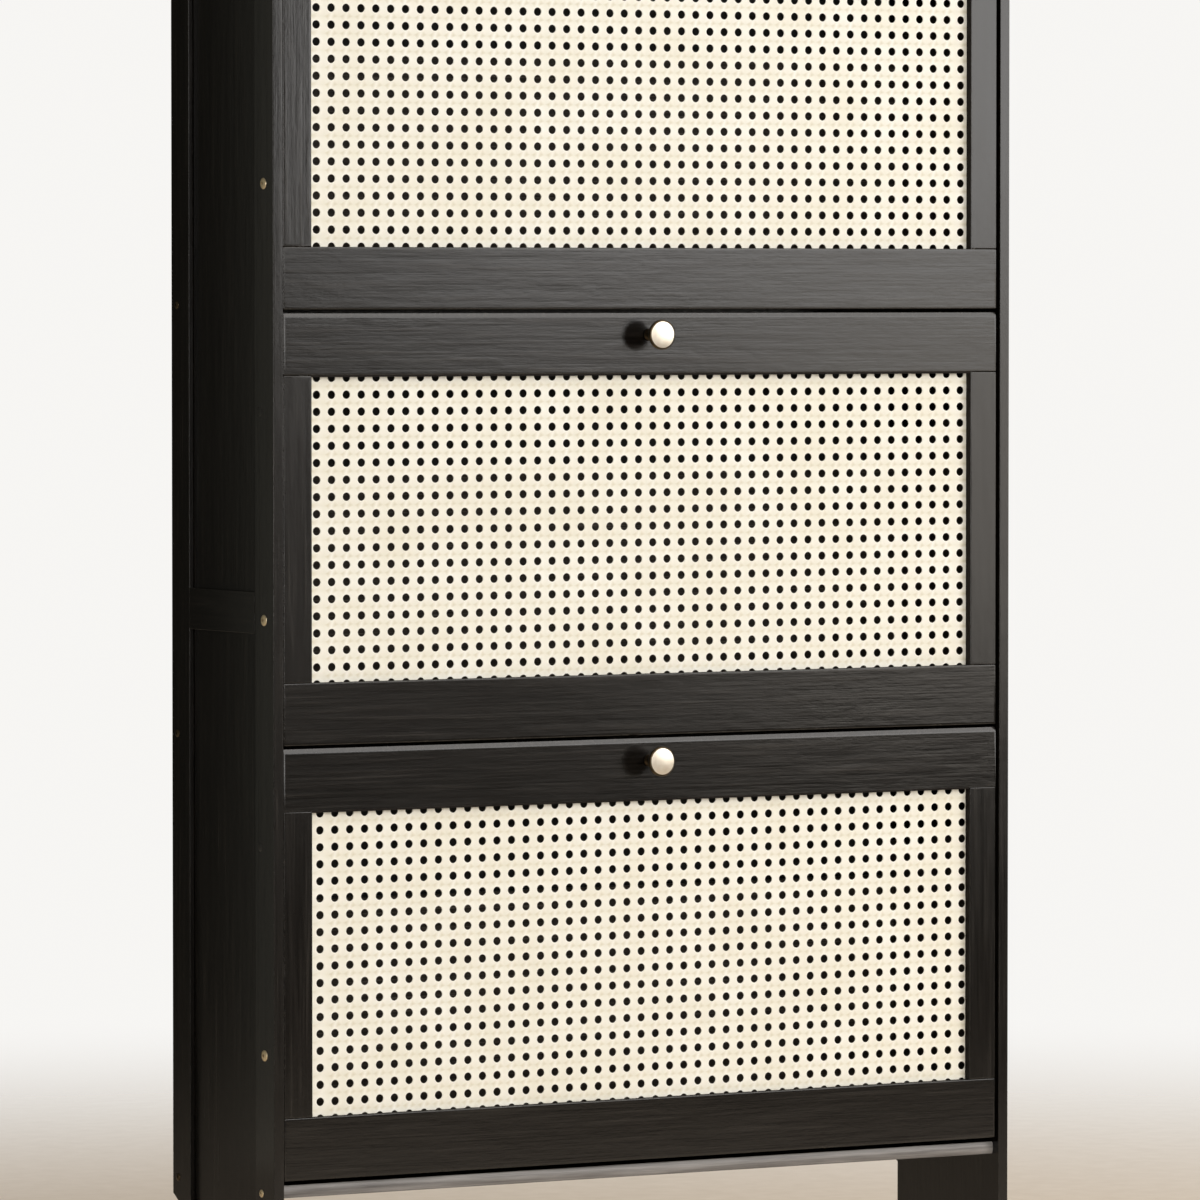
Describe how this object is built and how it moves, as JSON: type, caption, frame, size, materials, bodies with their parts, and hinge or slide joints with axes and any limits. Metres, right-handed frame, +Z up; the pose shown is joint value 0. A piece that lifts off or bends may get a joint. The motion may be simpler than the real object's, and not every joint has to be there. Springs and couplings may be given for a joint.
{
  "type": "shoe cabinet",
  "caption": "Slim free-standing shoe cabinet on panel legs, with tilt-out drawers whose black framed fronts hold ivory round-hole woven panels and small brass knobs.",
  "frame": {"origin": "middle of the bounding box at floor level, with the cabinet standing on its sides", "axes": "+Z up, -Y towards the drawer fronts, +X along the width to the right as seen from the front"},
  "size_m": [0.7, 0.1914, 1.202],
  "materials": {
    "black_paint": "black satin paint over brushed wood grain",
    "back_board": "matt black backing board",
    "ivory_weave": "ivory woven plastic webbing with round holes",
    "brass": "polished pale brass",
    "black_plastic": "moulded matt black"
  },
  "bodies": {
    "carcass": {"back_panel": "back_board", "back_rail_lower": "black_paint", "back_rail_middle": "black_paint", "back_rail_top": "black_paint", "bottom_board": "black_paint", "lower_left_pivot_bolt": "brass", "lower_left_stop_pin": "black_plastic", "lower_right_pivot_bolt": "brass", "lower_right_stop_pin": "black_plastic", "middle_left_pivot_bolt": "brass", "middle_left_stop_pin": "black_plastic", "middle_right_pivot_bolt": "brass", "middle_right_stop_pin": "black_plastic", "side_left_back_post": "black_paint", "side_left_board": "black_paint", "side_left_bottom_rail": "black_paint", "side_left_front_post": "black_paint", "side_left_middle_rail": "black_paint", "side_left_top_rail": "black_paint", "side_right_back_post": "black_paint", "side_right_board": "black_paint", "side_right_bottom_rail": "black_paint", "side_right_front_post": "black_paint", "side_right_middle_rail": "black_paint", "side_right_top_rail": "black_paint", "top_board": "black_paint", "upper_left_pivot_bolt": "brass", "upper_left_stop_pin": "black_plastic", "upper_right_pivot_bolt": "brass", "upper_right_stop_pin": "black_plastic"},
    "lower_drawer": {"lower_bucket_floor": "black_paint", "lower_bucket_left_plate": "black_paint", "lower_bucket_rear_wall": "black_paint", "lower_bucket_right_plate": "black_paint", "lower_front_bottom_rail": "black_paint", "lower_front_left_stile": "black_paint", "lower_front_right_stile": "black_paint", "lower_front_top_rail": "black_paint", "lower_knob": "brass", "lower_woven_panel": "ivory_weave"},
    "middle_drawer": {"middle_bucket_floor": "black_paint", "middle_bucket_left_plate": "black_paint", "middle_bucket_rear_wall": "black_paint", "middle_bucket_right_plate": "black_paint", "middle_front_bottom_rail": "black_paint", "middle_front_left_stile": "black_paint", "middle_front_right_stile": "black_paint", "middle_front_top_rail": "black_paint", "middle_knob": "brass", "middle_woven_panel": "ivory_weave"},
    "upper_drawer": {"upper_bucket_floor": "black_paint", "upper_bucket_left_plate": "black_paint", "upper_bucket_rear_wall": "black_paint", "upper_bucket_right_plate": "black_paint", "upper_front_bottom_rail": "black_paint", "upper_front_left_stile": "black_paint", "upper_front_right_stile": "black_paint", "upper_front_top_rail": "black_paint", "upper_knob": "brass", "upper_woven_panel": "ivory_weave"}
  },
  "joints": [
    {"name": "lower_tilt", "type": "hinge", "parent": "carcass", "child": "lower_drawer", "pos_m": [0, -0.0609, 0.2515], "axis": [1, 0, 0], "range_deg": [0, 38]},
    {"name": "middle_tilt", "type": "hinge", "parent": "carcass", "child": "middle_drawer", "pos_m": [0, -0.0609, 0.5965], "axis": [1, 0, 0], "range_deg": [0, 38]},
    {"name": "upper_tilt", "type": "hinge", "parent": "carcass", "child": "upper_drawer", "pos_m": [0, -0.0609, 0.9415], "axis": [1, 0, 0], "range_deg": [0, 38]}
  ]
}
